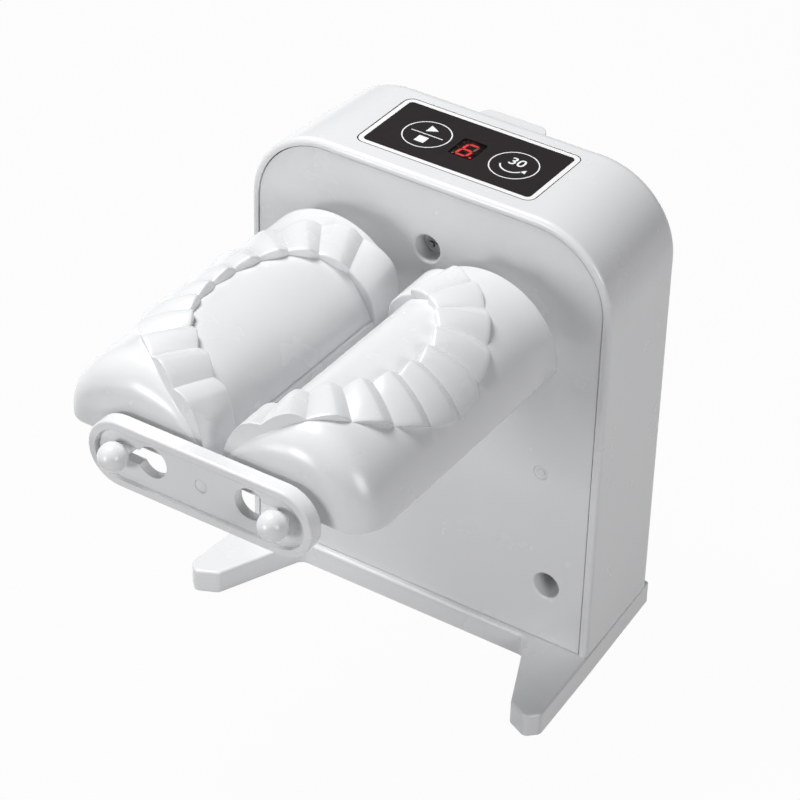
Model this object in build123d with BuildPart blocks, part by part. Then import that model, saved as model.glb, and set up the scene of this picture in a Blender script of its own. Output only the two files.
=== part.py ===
from build123d import *
import math
import os

os.makedirs("parts", exist_ok=True)

# Electric dumpling maker. A geared motor in an arched housing turns two D-shaped rollers towards
# each other. Each roller carries half of a round pleated mould, and a link plate joins their tips.
# Millimetres, Z up from the table, front towards -Y. X = 0 is the mirror plane and Y = 0 is the
# front rim of the housing. Left and right are as seen from the front.

# Housing shell and front panel
shell_half_width = 71.8
shell_rear_half_width = 68.3
shell_top = 180.3
shell_corner = 30.3
shell_wall = 2.9
shell_rear_round = 4.5
shell_rim_round = 1.8
panel_gap = 0.4
panel_set_back = 0.4
panel_thickness = 2.5
panel_hole_radius = 5.0
panel_hole_round = 0.9
panel_tube_wall = 1.6
panel_floor = 2.0
panel_tube_bite = 0.5
low_screw_x = 53.6
low_screw_z = 33.1
low_tube_depth = 11.5
top_screw_z = 153.1
top_tube_depth = 8.5
mark_x = 48.8
mark_z = 80.3
mark_radius = 2.8
mark_depth = 0.5

# Battery bulge on the back of the shell
bulge_half_width = 13.0
bulge_depth = 6.5
bulge_bottom = 84.0
bulge_top = 176.5
bulge_round = 4.0

# Base frame with two front legs
base_height = 9.0
base_front = 2.0
leg_root_step = 14.2
leg_width = 12.2
leg_splay = 2.2
leg_inner_y = 34.8
leg_tip_y = 38.6
leg_tip_round = 4.2
leg_tip_corner = 2.5
leg_root_round = 4.0
base_side_step = 0.4
base_edge_round = 1.0
foot_radius = 4.5
foot_depth = 1.6
foot_leg_y = 30.0
foot_leg_step = 5.8
foot_rear_inset = 16.2
foot_inset_y = 8.0
base_boss_bite = 0.8
base_screw_front_y = 10.0
base_screw_rear_inset = 11.0
base_boss_height = 16.0
base_boss_radius = 4.5
counterbore_depth = 5.0

# Gears, which also set how far apart the rollers are
gear_module = 1.5
gear_teeth = 41
pinion_teeth = 13
gear_backlash = 0.22
gear_addendum = 0.9
gear_dedendum = 1.25
gear_flank_points = (-0.5, 0.3)
pressure_angle = 20.0
gear_y = 13.5
gear_width = 7.0
gear_hub_radius = 9.0
gear_hub_front = 10.0
gear_hub_rear = 22.5
pinion_x = -24.0
pinion_hub_radius = 5.5
pinion_hub_length = 9.0

# Rollers and mould
roller_axis_z = 133.5
roller_radius = 28.0
roller_rear = 10.0
roller_nose = 12.5
roller_flat_drop = 2.5
roller_wall = 2.5
roller_edge_round = 2.2
mould_side_margin = 3.05
mould_end_margin = 0.3
mould_band_width = 16.1
mould_floor_inset = 0.5
band_foot_inset = 1.0
band_bite = 1.75
mould_recess = 0.8
mould_inner_rise = 1.9
mould_inner_wave = 0.5
mould_crest_gap = 0.2
fold_edge_angle = 4.0
fold_lip_angle = 13.0
pleats = 12
pleat_lean = 0.62
cover_thickness = 2.2
cover_gap = 0.1
hub_radius = 8.0
hub_end = 2.0
hub_length = 24.0
nose_boss_radius = 6.0
nose_boss_length = 10.0

# Drive shafts and their bushes
shaft_radius = 4.0
shaft_flat = 3.0
journal_radius = 3.0
drive_fit = 0.03
running_fit = 0.05
shaft_in_roller = 22.0
shaft_rear = 33.5
front_bush_radius = 6.5
front_bush_flange = 9.0
front_bush_flange_thickness = 1.6
rear_bush_radius = 6.0
rear_bush_flange = 8.0
bush_play = 0.5
rear_bush_flange_thickness = 1.0
bush_boss_wall = 3.0
clip_radius = 5.5
clip_thickness = 0.6
clip_groove_radius = 2.3
clip_mouth = 3.8

# Ball-headed end pins and the link plate
neck_radius = 2.75
ball_radius = 5.0
ball_reach = 10.7
pin_shank_radius = 2.0
pin_shank_length = 9.0
plate_reach = 7.7
plate_thickness = 5.3
plate_radius = 12.3
plate_centre_z = 132.3
plate_rim = 3.0
plate_rim_height = 1.7
plate_edge_round = 0.8
keyhole_x = 18.8
keyhole_radius = 5.7
gate_mark_radius = 2.4
gate_mark_depth = 0.4

# Gear frame
frame_front = 26.0
frame_thickness = 2.5
frame_half_width = 62.0
frame_bottom = 64.0
frame_top = 166.5
frame_corner = 9.0
frame_post_radius = 4.0
frame_high_post_x = 45.0
frame_high_post_z = 161.0
frame_low_post_x = 56.5
frame_low_post_z = 71.0
frame_stub_radius = 3.5
frame_stub_bite = 0.5
rear_bush_length = 7.0
bush_front_overhang = 2.0
frame_window_radius = 7.0
frame_window_z = 104.0

# Motor with its gearbox
gearbox_width = 22.4
gearbox_height = 37.3
gearbox_thickness = 18.6
gearbox_rear_gap = 0.5
gearbox_round = 3.0
gearbox_shaft_inset = 11.2
motor_radius = 10.0
motor_flat = 7.6
motor_length = 27.0
motor_boss_radius = 4.0
motor_boss_length = 2.0
motor_shaft_radius = 2.7
motor_shaft_depth = 16.0
motor_screw_spacing = 17.5
motor_screw_drop = 20.0
shaft_hole_clearance = 0.8

# Battery cell and cradle
cell_radius = 9.2
cell_length = 64.0
cell_nub_radius = 3.0
cell_nub_height = 0.8
cell_bottom = 95.0
cell_round = 0.8
cell_gap = 0.3
cradle_wall = 1.8
cradle_grip = 0.1
tab_reach = 9.5
tab_height = 12.0
tab_thickness = 2.4
tab_offset = 16.0
cradle_hole_cover = 0.6
cradle_screw_cover = 0.8

# Control board, display and label
board_gap = 6.8
board_thickness = 1.6
board_half_width = 33.0
board_front_y = 8.0
board_rear_y = 42.0
board_post_radius = 2.8
board_post_inset = 4.0
touch_x = 17.3
touch_pad_radius = 4.5
label_half_width = 35.0
label_front_y = 7.7
label_rear_y = 42.2
label_corner = 3.5
label_thickness = 0.4
label_sink = 0.1
label_gap = 0.15
window_width = 9.6
window_length = 11.5
window_y = 24.4
window_corner = 1.2
display_width = 9.8
display_length = 13.0
display_height = 7.6
display_gap = 0.3
display_leg = 0.5
display_leg_bite = 0.5
display_leg_pitch = 2.54
display_legs_per_side = 5

# Charging socket and its board
charge_board_half_width = 11.0
charge_board_length = 17.0
charge_board_z = 20.0
charge_post_x = 8.0
charge_post_inset = 4.0
charge_post_radius = 2.5
socket_width = 8.94
socket_height = 3.26
socket_length = 7.3
socket_wall = 0.3
socket_tongue = 0.7
socket_hole_gap = 0.25
socket_set_back = 0.3
socket_board_gap = 0.3

# Screws: head radius, head height, thread radius
panel_screw = (2.8, 1.8, 1.25)
frame_screw = (2.6, 1.6, 1.25)
small_screw = (1.9, 1.2, 0.9)
screw_hole_gap = 0.35
screw_slot_width = 0.7
screw_slot_share = 0.65
screw_slot_depth = 0.9
screw_bite = 10.0
small_screw_bite = 4.5

# Values that follow from those above
roller_axis_x = gear_module * gear_teeth / 2
mould_outer_radius = roller_axis_x + roller_radius - mould_side_margin
mould_inner_radius = mould_outer_radius - mould_band_width
mould_y = roller_rear + mould_end_margin + mould_outer_radius
roller_front = mould_y + mould_outer_radius + mould_end_margin
ball_y = roller_front + ball_reach
plate_front = roller_front + plate_reach
base_side_x = shell_half_width + base_side_step
leg_tip_x = base_side_x + leg_splay
leg_inner_x = leg_tip_x - leg_width
leg_root_x = leg_inner_x - leg_root_step
foot_leg_x = leg_inner_x + foot_leg_step
foot_rear_x = base_side_x - foot_rear_inset
shell_depth = frame_front + frame_thickness + gearbox_thickness + gearbox_rear_gap + shell_wall
inner_back = shell_depth - shell_wall
inner_top = shell_top - shell_wall
frame_back = frame_front + frame_thickness
panel_back = panel_set_back + panel_thickness
roller_flat_z = roller_axis_z - roller_flat_drop
crest_radius = roller_axis_x - mould_crest_gap
mesh_distance = gear_module * (gear_teeth + pinion_teeth) / 2
pinion_z = roller_axis_z - math.sqrt(mesh_distance**2 - (pinion_x + roller_axis_x) ** 2)
bush_boss_front = frame_front - bush_front_overhang
cell_y = shell_depth + bulge_depth - shell_wall - cell_gap - cell_radius
cell_top = cell_bottom + cell_length
board_top = inner_top - board_gap
board_bottom = board_top - board_thickness
label_top = shell_top - label_sink
label_bottom = label_top - label_thickness
charge_board_top = charge_board_z + board_thickness
low_tube_end = panel_set_back + low_tube_depth
top_tube_end = panel_set_back + top_tube_depth
sides = ((-1, "left"), (1, "right"))
board_posts = [
    (side * (board_half_width - board_post_inset), y)
    for side in (-1, 1)
    for y in (board_front_y + board_post_inset, board_rear_y - board_post_inset)
]
frame_posts = [
    (side * x, z)
    for side in (-1, 1)
    for x, z in ((frame_high_post_x, frame_high_post_z), (frame_low_post_x, frame_low_post_z))
]
charge_post_y = inner_back - charge_board_length + charge_post_inset
charge_posts = [(side * charge_post_x, charge_post_y) for side in (-1, 1)]


def shell_half_width_at(y):
    """Half the outer width of the housing at a depth, which narrows towards the back."""
    return shell_half_width + (shell_rear_half_width - shell_half_width) * y / shell_depth


base_screws_at = [
    (side * (shell_half_width_at(y) - shell_wall - base_boss_radius + base_boss_bite), y)
    for side in (-1, 1)
    for y in (base_screw_front_y, shell_depth - base_screw_rear_inset)
]
feet_at = [(side * foot_leg_x, -foot_leg_y) for side in (-1, 1)]
feet_at += [(side * foot_rear_x, shell_depth - foot_inset_y) for side in (-1, 1)]


def front_plane(y):
    """An upright plane across the object at a depth: its x is X, its y is Z, and it faces forward."""
    return Plane.XZ.offset(-y)


def bar_y(x, z, radius, y_from, y_to, mode=Mode.ADD):
    """A round bar, or a round hole, along Y."""
    with Locations((x, (y_from + y_to) / 2, z)):
        Cylinder(radius, abs(y_to - y_from), rotation=(90, 0, 0), mode=mode)


def bar_z(x, y, radius, z_from, z_to, mode=Mode.ADD):
    """A round bar, or a round hole, along Z."""
    with Locations((x, y, (z_from + z_to) / 2)):
        Cylinder(radius, abs(z_to - z_from), mode=mode)


def block(x_from, x_to, y_from, y_to, z_from, z_to, mode=Mode.ADD):
    """A square-cornered block between six planes."""
    with Locations(((x_from + x_to) / 2, (y_from + y_to) / 2, (z_from + z_to) / 2)):
        Box(abs(x_to - x_from), abs(y_to - y_from), abs(z_to - z_from), mode=mode)


def flatted_bar_y(x, z, radius, flat, y_from, y_to, mode=Mode.ADD):
    """A bar or hole along Y with one flat on top, at the height flat above its axis."""
    with BuildSketch(front_plane(y_from)) as section:
        with Locations((x, z)):
            Circle(radius)
        with Locations((x, z + flat + radius)):
            Rectangle(4 * radius, 2 * radius, mode=Mode.SUBTRACT)
    extrude(section.sketch, amount=y_from - y_to, mode=mode)


def screw_y(x, z, seat, tip, size):
    """A cross-slotted pan-head screw along Y: the head stands on seat and the thread ends at tip."""
    head_radius, head_height, thread_radius = size
    towards = 1 if tip > seat else -1
    crown = seat - towards * head_height
    bar_y(x, z, head_radius, crown, seat)
    bar_y(x, z, thread_radius, seat, tip)
    floor = crown + towards * screw_slot_depth
    reach = head_radius * screw_slot_share
    half = screw_slot_width / 2
    block(x - reach, x + reach, crown, floor, z - half, z + half, mode=Mode.SUBTRACT)
    block(x - half, x + half, crown, floor, z - reach, z + reach, mode=Mode.SUBTRACT)


def screw_z(x, y, seat, tip, size):
    """The same screw along Z."""
    head_radius, head_height, thread_radius = size
    towards = 1 if tip > seat else -1
    crown = seat - towards * head_height
    bar_z(x, y, head_radius, crown, seat)
    bar_z(x, y, thread_radius, seat, tip)
    floor = crown + towards * screw_slot_depth
    reach = head_radius * screw_slot_share
    half = screw_slot_width / 2
    block(x - reach, x + reach, y - half, y + half, crown, floor, mode=Mode.SUBTRACT)
    block(x - half, x + half, y - reach, y + reach, crown, floor, mode=Mode.SUBTRACT)


def arch(y, half_width, bottom, top, corner):
    """The upright outline of the housing at a depth: a rectangle with its two top corners round."""
    with BuildSketch(front_plane(y)) as outline:
        with Locations((0, (bottom + top) / 2)):
            Rectangle(2 * half_width, top - bottom)
        fillet(outline.vertices().group_by(Axis.Y)[-1], corner)
    return outline.sketch


def save(piece, name):
    """Labels a finished piece and writes it."""
    piece.part.label = name
    export_step(piece.part, "parts/" + name + ".step")


# Base frame: a thick moulded plate, flush with the shell, whose two front legs reach under the rollers
with BuildPart() as base_frame:
    with BuildSketch(Plane.XY) as outline:
        with BuildLine():
            Polyline(
                (-leg_root_x, -base_front),
                (leg_root_x, -base_front),
                (leg_inner_x, -leg_inner_y),
                (leg_tip_x - leg_tip_round, -leg_tip_y),
                (leg_tip_x, -leg_tip_y + leg_tip_round),
                (base_side_x, 0),
                (shell_rear_half_width, shell_depth),
                (-shell_rear_half_width, shell_depth),
                (-base_side_x, 0),
                (-leg_tip_x, -leg_tip_y + leg_tip_round),
                (-leg_tip_x + leg_tip_round, -leg_tip_y),
                (-leg_inner_x, -leg_inner_y),
                close=True,
            )
        make_face()
        tips = outline.vertices().filter_by_position(Axis.Y, -leg_tip_y - 1, -leg_inner_y + 1)
        fillet(tips, leg_tip_corner)
        roots = outline.vertices().filter_by_position(Axis.Y, -base_front - 1, -base_front + 1)
        fillet(roots, leg_root_round)
    extrude(amount=base_height)
    top_edges = base_frame.faces().sort_by(Axis.Z)[-1].edges()
    fillet(top_edges.filter_by(lambda edge: edge.center().Y < -base_front / 2), base_edge_round)
    for x, y in base_screws_at:
        bar_z(x, y, panel_screw[2] + screw_hole_gap, 0, base_height, mode=Mode.SUBTRACT)
        bar_z(x, y, panel_screw[0] + screw_hole_gap, 0, counterbore_depth, mode=Mode.SUBTRACT)
    for x, y in feet_at:
        bar_z(x, y, foot_radius, 0, foot_depth, mode=Mode.SUBTRACT)
    for x, y in charge_posts:
        bar_z(x, y, charge_post_radius, base_height - 1, charge_board_z)
        bar_z(x, y, small_screw[2], charge_board_z - small_screw_bite, charge_board_z, mode=Mode.SUBTRACT)
save(base_frame, "base_frame")

# Rubber pads let into the underside
with BuildPart() as rubber_feet:
    for x, y in feet_at:
        bar_z(x, y, foot_radius, 0, foot_depth)
save(rubber_feet, "rubber_feet")

# Screws that hold the shell on the base
with BuildPart() as base_screws:
    for x, y in base_screws_at:
        screw_z(x, y, counterbore_depth, base_height + screw_bite, panel_screw)
save(base_screws, "base_screws")

# Housing shell: one moulding with round shoulders, open at the front and below
with BuildPart() as housing_shell:
    loft(
        [
            arch(0, shell_half_width, base_height, shell_top, shell_corner).face(),
            arch(shell_depth, shell_rear_half_width, base_height, shell_top, shell_corner).face(),
        ],
        ruled=True,
    )
    rear_edges = housing_shell.faces().sort_by(Axis.Y)[-1].edges()
    fillet(rear_edges.filter_by(lambda edge: edge.center().Z > base_height + 1), shell_rear_round)
    rim_edges = housing_shell.faces().sort_by(Axis.Y)[0].edges()
    fillet(rim_edges.filter_by(lambda edge: edge.center().Z > base_height + 1), shell_rim_round)
    with BuildSketch(Plane.XY.offset(bulge_bottom)) as bulge:
        with Locations((0, shell_depth + (bulge_depth - shell_rear_round) / 2)):
            Rectangle(2 * bulge_half_width, bulge_depth + shell_rear_round)
        fillet(bulge.vertices().group_by(Axis.Y)[-1], bulge_round)
    extrude(amount=bulge_top - bulge_bottom)
    loft(
        [
            arch(
                -1,
                shell_half_width_at(-1) - shell_wall,
                base_height - 1,
                inner_top,
                shell_corner - shell_wall,
            ).face(),
            arch(
                inner_back,
                shell_half_width_at(inner_back) - shell_wall,
                base_height - 1,
                inner_top,
                shell_corner - shell_wall,
            ).face(),
        ],
        ruled=True,
        mode=Mode.SUBTRACT,
    )
    block(
        -bulge_half_width + shell_wall,
        bulge_half_width - shell_wall,
        inner_back - 1,
        shell_depth + bulge_depth - shell_wall,
        bulge_bottom + shell_wall,
        bulge_top - shell_wall,
        mode=Mode.SUBTRACT,
    )
    for side in (-1, 1):
        boss_radius = panel_hole_radius + panel_tube_wall - screw_hole_gap - panel_tube_wall / 2
        bar_y(side * low_screw_x, low_screw_z, boss_radius, low_tube_end, inner_back + 1)
    for x, z in frame_posts:
        bar_y(x, z, frame_post_radius, frame_back, inner_back + 1)
    for x, y in base_screws_at:
        bar_z(x, y, base_boss_radius, base_height, base_height + base_boss_height)
    for x, y in board_posts:
        bar_z(x, y, board_post_radius, board_top, inner_top + 1)
    for side in (-1, 1):
        hole_end = low_tube_end + screw_bite + 1
        bar_y(side * low_screw_x, low_screw_z, panel_screw[2], low_tube_end, hole_end, mode=Mode.SUBTRACT)
    for x, z in frame_posts:
        bar_y(x, z, frame_screw[2], frame_back, frame_back + screw_bite, mode=Mode.SUBTRACT)
    for x, y in base_screws_at:
        bar_z(x, y, panel_screw[2], base_height, base_height + screw_bite + 1, mode=Mode.SUBTRACT)
    for x, y in board_posts:
        bar_z(x, y, small_screw[2], board_top, board_top + small_screw_bite, mode=Mode.SUBTRACT)
    # Bed of the control label, and the opening over the display
    with BuildSketch(Plane.XY.offset(label_bottom)):
        with Locations((0, (label_front_y + label_rear_y) / 2)):
            RectangleRounded(
                2 * (label_half_width + label_gap),
                label_rear_y - label_front_y + 2 * label_gap,
                label_corner,
            )
    extrude(amount=shell_top - label_bottom, mode=Mode.SUBTRACT)
    block(
        -display_width / 2 - display_gap,
        display_width / 2 + display_gap,
        window_y - display_length / 2 - display_gap,
        window_y + display_length / 2 + display_gap,
        inner_top - 1,
        shell_top,
        mode=Mode.SUBTRACT,
    )
    # Mouth of the charging socket, and holes for the screws of the battery cradle
    with BuildSketch(front_plane(inner_back - 1)):
        with Locations((0, charge_board_top + socket_height / 2)):
            SlotOverall(socket_width + 2 * socket_hole_gap, socket_height + 2 * socket_hole_gap)
    extrude(amount=-2 * shell_wall, mode=Mode.SUBTRACT)
    for side in (-1, 1):
        for z in (cell_bottom + cell_length / 2 - tab_offset, cell_bottom + cell_length / 2 + tab_offset):
            x = side * (cell_radius + cradle_wall + tab_reach / 2)
            bar_y(x, z, small_screw[2], inner_back, shell_depth - cradle_hole_cover, mode=Mode.SUBTRACT)
save(housing_shell, "housing_shell")

# Front panel: a flat plate inside the rim, with three deep screw wells and two bearing bosses
with BuildPart() as front_panel:
    extrude(
        arch(
            panel_set_back,
            shell_half_width_at(panel_back) - shell_wall - panel_gap / 2,
            base_height + panel_gap / 2,
            inner_top - panel_gap,
            shell_corner - shell_wall - panel_gap,
        ),
        amount=-panel_thickness,
    )
    wells = [(0, top_screw_z, top_tube_end)]
    wells += [(side * low_screw_x, low_screw_z, low_tube_end) for side in (-1, 1)]
    for x, z, end in wells:
        bar_y(x, z, panel_hole_radius + panel_tube_wall, panel_back - panel_tube_bite, end)
        bar_y(x, z, panel_hole_radius, panel_set_back, end - panel_floor, mode=Mode.SUBTRACT)
        bar_y(x, z, panel_screw[2] + screw_hole_gap, end - panel_floor, end, mode=Mode.SUBTRACT)
    for side in (-1, 1):
        bar_y(
            side * roller_axis_x,
            roller_axis_z,
            front_bush_radius + bush_boss_wall,
            panel_back - panel_tube_bite,
            gear_hub_front - 1,
        )
        bar_y(
            side * roller_axis_x,
            roller_axis_z,
            front_bush_radius,
            panel_set_back,
            gear_hub_front - 1,
            mode=Mode.SUBTRACT,
        )
    mouths = front_panel.edges().filter_by(GeomType.CIRCLE)
    mouths = mouths.filter_by(lambda edge: abs(edge.center().Y - panel_set_back) < 0.01)
    fillet(mouths.filter_by(lambda edge: abs(edge.radius - panel_hole_radius) < 0.01), panel_hole_round)
    bar_y(mark_x, mark_z, mark_radius, panel_set_back, panel_set_back + mark_depth, mode=Mode.SUBTRACT)
    bar_y(mark_x, mark_z, mark_radius / 2, panel_set_back + mark_depth / 2, panel_set_back + mark_depth)
save(front_panel, "front_panel")

# Screws at the bottoms of the three wells
with BuildPart() as panel_screws:
    for x, z, end in wells:
        screw_y(x, z, end - panel_floor, end + screw_bite, panel_screw)
save(panel_screws, "panel_screws")

# Gear frame: a moulded plate behind the gears that holds the rear bushes and the motor
with BuildPart() as gear_frame:
    with BuildSketch(front_plane(frame_front)):
        with Locations((0, (frame_bottom + frame_top) / 2)):
            RectangleRounded(2 * frame_half_width, frame_top - frame_bottom, frame_corner)
    extrude(amount=-frame_thickness)
    bar_y(0, top_screw_z, frame_stub_radius, top_tube_end, frame_front + frame_stub_bite)
    bar_y(0, top_screw_z, panel_screw[2], top_tube_end, top_tube_end + screw_bite + 1, mode=Mode.SUBTRACT)
    for side in (-1, 1):
        boss_end = bush_boss_front + rear_bush_length
        x = side * roller_axis_x
        bar_y(x, roller_axis_z, rear_bush_radius + bush_boss_wall, bush_boss_front, boss_end)
        bar_y(x, roller_axis_z, rear_bush_radius, bush_boss_front, boss_end, mode=Mode.SUBTRACT)
    for x, z in frame_posts:
        bar_y(x, z, frame_screw[2] + screw_hole_gap, frame_front, frame_back, mode=Mode.SUBTRACT)
    bar_y(
        pinion_x,
        pinion_z,
        motor_shaft_radius + shaft_hole_clearance,
        frame_front,
        frame_back,
        mode=Mode.SUBTRACT,
    )
    motor_screws_at = [
        (pinion_x + side * motor_screw_spacing / 2, pinion_z - motor_screw_drop) for side in (-1, 1)
    ]
    for x, z in motor_screws_at:
        bar_y(x, z, frame_screw[2] + screw_hole_gap, frame_front, frame_back, mode=Mode.SUBTRACT)
    for x in (0, -pinion_x, -2 * pinion_x):
        bar_y(x, frame_window_z, frame_window_radius, frame_front, frame_back, mode=Mode.SUBTRACT)
save(gear_frame, "gear_frame")

# Screws that hold the gear frame on the posts of the shell
with BuildPart() as frame_screws:
    for x, z in frame_posts:
        screw_y(x, z, frame_front, frame_back + screw_bite, frame_screw)
save(frame_screws, "frame_screws")

# Flanged bushes in the front panel
with BuildPart() as front_bushes:
    for side in (-1, 1):
        x = side * roller_axis_x
        flange_front = panel_set_back - front_bush_flange_thickness
        bar_y(x, roller_axis_z, front_bush_flange, flange_front, panel_set_back)
        bar_y(x, roller_axis_z, front_bush_radius, panel_set_back, gear_hub_front - 1)
        bore = shaft_radius + running_fit
        bar_y(x, roller_axis_z, bore, flange_front, gear_hub_front - 1, mode=Mode.SUBTRACT)
save(front_bushes, "front_bushes")

# Flanged bushes in the gear frame
with BuildPart() as rear_bushes:
    for side in (-1, 1):
        x = side * roller_axis_x
        boss_end = bush_boss_front + rear_bush_length
        flange_front = bush_boss_front - rear_bush_flange_thickness
        bar_y(x, roller_axis_z, rear_bush_flange, flange_front, bush_boss_front)
        bar_y(x, roller_axis_z, rear_bush_radius, bush_boss_front, boss_end)
        bar_y(x, roller_axis_z, journal_radius + running_fit, flange_front, boss_end, mode=Mode.SUBTRACT)
save(rear_bushes, "rear_bushes")

# Gearbox of the motor, screwed behind the gear frame
with BuildPart() as motor_gearbox:
    gearbox_top = pinion_z + gearbox_shaft_inset
    block(
        pinion_x - gearbox_width / 2,
        pinion_x + gearbox_width / 2,
        frame_back,
        frame_back + gearbox_thickness,
        gearbox_top - gearbox_height,
        gearbox_top,
    )
    fillet(motor_gearbox.edges().filter_by(Axis.Y), gearbox_round)
    bar_y(
        pinion_x,
        pinion_z,
        motor_shaft_radius + running_fit,
        frame_back,
        frame_back + motor_shaft_depth,
        mode=Mode.SUBTRACT,
    )
    for x, z in motor_screws_at:
        bar_y(x, z, frame_screw[2], frame_back, frame_back + screw_bite, mode=Mode.SUBTRACT)
save(motor_gearbox, "motor_gearbox")

# Motor can, pushed into the bottom of the gearbox
with BuildPart() as motor_can:
    can_top = pinion_z + gearbox_shaft_inset - gearbox_height
    can_y = frame_back + gearbox_thickness / 2
    bar_z(pinion_x, can_y, motor_radius, can_top - motor_length, can_top)
    for side in (-1, 1):
        block(
            pinion_x - motor_radius,
            pinion_x + motor_radius,
            can_y + side * motor_flat,
            can_y + side * (motor_radius + 1),
            can_top - motor_length,
            can_top,
            mode=Mode.SUBTRACT,
        )
    bar_z(
        pinion_x,
        can_y,
        motor_boss_radius,
        can_top - motor_length - motor_boss_length,
        can_top - motor_length,
    )
save(motor_can, "motor_can")

# Screws through the gear frame into the gearbox
with BuildPart() as motor_screws:
    for x, z in motor_screws_at:
        screw_y(x, z, frame_front, frame_back + screw_bite, frame_screw)
save(motor_screws, "motor_screws")

# Rechargeable cell, upright in the bulge
with BuildPart() as battery_cell:
    bar_z(0, cell_y, cell_radius, cell_bottom, cell_top)
    fillet(battery_cell.edges().filter_by(GeomType.CIRCLE), cell_round)
    bar_z(0, cell_y, cell_nub_radius, cell_top - 1, cell_top + cell_nub_height)
save(battery_cell, "battery_cell")

# Cradle that clasps the front of the cell against the bulge
with BuildPart() as battery_cradle:
    cradle_half = cell_radius + cradle_wall
    cradle_bottom = cell_bottom - cradle_wall
    cradle_top = cell_top + cell_nub_height + cradle_wall
    cradle_front = cell_y - cell_radius - cradle_wall
    block(-cradle_half, cradle_half, cradle_front, inner_back, cradle_bottom, cradle_top)
    front_corners = battery_cradle.edges().filter_by(Axis.Z)
    fillet(front_corners.filter_by(lambda edge: edge.center().Y < cradle_front + 1), cradle_half / 2)
    bar_z(
        0,
        cell_y,
        cell_radius + cradle_grip,
        cell_bottom,
        cell_top + cell_nub_height,
        mode=Mode.SUBTRACT,
    )
    block(
        -cell_radius / 2,
        cell_radius / 2,
        cradle_front - 1,
        cell_y,
        cell_bottom + tab_height,
        cell_top - tab_height,
        mode=Mode.SUBTRACT,
    )
    for side in (-1, 1):
        for z in (cell_bottom + cell_length / 2 - tab_offset, cell_bottom + cell_length / 2 + tab_offset):
            block(
                side * (cradle_half - 1),
                side * (cradle_half + tab_reach),
                inner_back - tab_thickness,
                inner_back,
                z - tab_height / 2,
                z + tab_height / 2,
            )
            x = side * (cradle_half + tab_reach / 2)
            hole = small_screw[2] + screw_hole_gap / 2
            bar_y(x, z, hole, inner_back - tab_thickness, inner_back, mode=Mode.SUBTRACT)
save(battery_cradle, "battery_cradle")

with BuildPart() as cradle_screws:
    for side in (-1, 1):
        for z in (cell_bottom + cell_length / 2 - tab_offset, cell_bottom + cell_length / 2 + tab_offset):
            x = side * (cradle_half + tab_reach / 2)
            screw_y(x, z, inner_back - tab_thickness, shell_depth - cradle_screw_cover, small_screw)
save(cradle_screws, "cradle_screws")

# Control board under the top of the shell
with BuildPart() as control_board:
    block(-board_half_width, board_half_width, board_front_y, board_rear_y, board_bottom, board_top)
    for x, y in board_posts:
        hole = small_screw[2] + screw_hole_gap / 2
        bar_z(x, y, hole, board_bottom, board_top, mode=Mode.SUBTRACT)
save(control_board, "control_board")

# One-digit display on the board, standing on its legs below the window
with BuildPart() as digit_display:
    display_top = label_bottom - display_gap
    display_bottom = display_top - display_height
    display_rear = window_y + display_length / 2
    block(
        -display_width / 2,
        display_width / 2,
        window_y - display_length / 2,
        display_rear,
        display_bottom,
        display_top,
    )
    for side in (-1, 1):
        for leg in range(display_legs_per_side):
            x = (leg - (display_legs_per_side - 1) / 2) * display_leg_pitch * 0.7
            y = window_y + side * (display_length / 2 - 2 * display_leg)
            half = display_leg / 2
            block(x - half, x + half, y - half, y + half, board_top, display_bottom + display_leg_bite)
save(digit_display, "digit_display")

# Conductive foam pads between the board and the top, one under each touch key
with BuildPart() as touch_pads:
    for side in (-1, 1):
        bar_z(side * touch_x, window_y, touch_pad_radius, board_top, inner_top)
save(touch_pads, "touch_pads")

# Printed control label with a clear window let into it
with BuildPart() as control_label:
    with BuildSketch(Plane.XY.offset(label_bottom)):
        with Locations((0, (label_front_y + label_rear_y) / 2)):
            RectangleRounded(2 * label_half_width, label_rear_y - label_front_y, label_corner)
        with Locations((0, window_y)):
            RectangleRounded(window_width, window_length, window_corner, mode=Mode.SUBTRACT)
    extrude(amount=label_thickness)
save(control_label, "control_label")

with BuildPart() as display_window:
    with BuildSketch(Plane.XY.offset(label_bottom)):
        with Locations((0, window_y)):
            RectangleRounded(window_width, window_length, window_corner)
    extrude(amount=label_thickness)
save(display_window, "display_window")

# Charging board on two posts of the base, with its socket at the back wall
with BuildPart() as charge_board:
    block(
        -charge_board_half_width,
        charge_board_half_width,
        inner_back - charge_board_length,
        inner_back - socket_board_gap,
        charge_board_z,
        charge_board_top,
    )
    for x, y in charge_posts:
        hole = small_screw[2] + screw_hole_gap / 2
        bar_z(x, y, hole, charge_board_z, charge_board_top, mode=Mode.SUBTRACT)
save(charge_board, "charge_board")

with BuildPart() as charge_socket:
    socket_rear = shell_depth - socket_set_back
    socket_z = charge_board_top + socket_height / 2
    with BuildSketch(front_plane(socket_rear)):
        with Locations((0, socket_z)):
            SlotOverall(socket_width, socket_height)
    extrude(amount=socket_length)
    with BuildSketch(front_plane(socket_rear)):
        with Locations((0, socket_z)):
            SlotOverall(socket_width - 2 * socket_wall, socket_height - 2 * socket_wall)
    extrude(amount=socket_length - 1, mode=Mode.SUBTRACT)
    with BuildSketch(front_plane(socket_rear - 1)):
        with Locations((0, socket_z)):
            Rectangle(socket_width - socket_height, socket_tongue)
    extrude(amount=socket_length - 1)
save(charge_socket, "charge_socket")

# Small screws of both boards
with BuildPart() as board_screws:
    for x, y in board_posts:
        screw_z(x, y, board_bottom, board_top + small_screw_bite, small_screw)
    for x, y in charge_posts:
        screw_z(x, y, charge_board_top, charge_board_z - small_screw_bite, small_screw)
save(board_screws, "board_screws")


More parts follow.
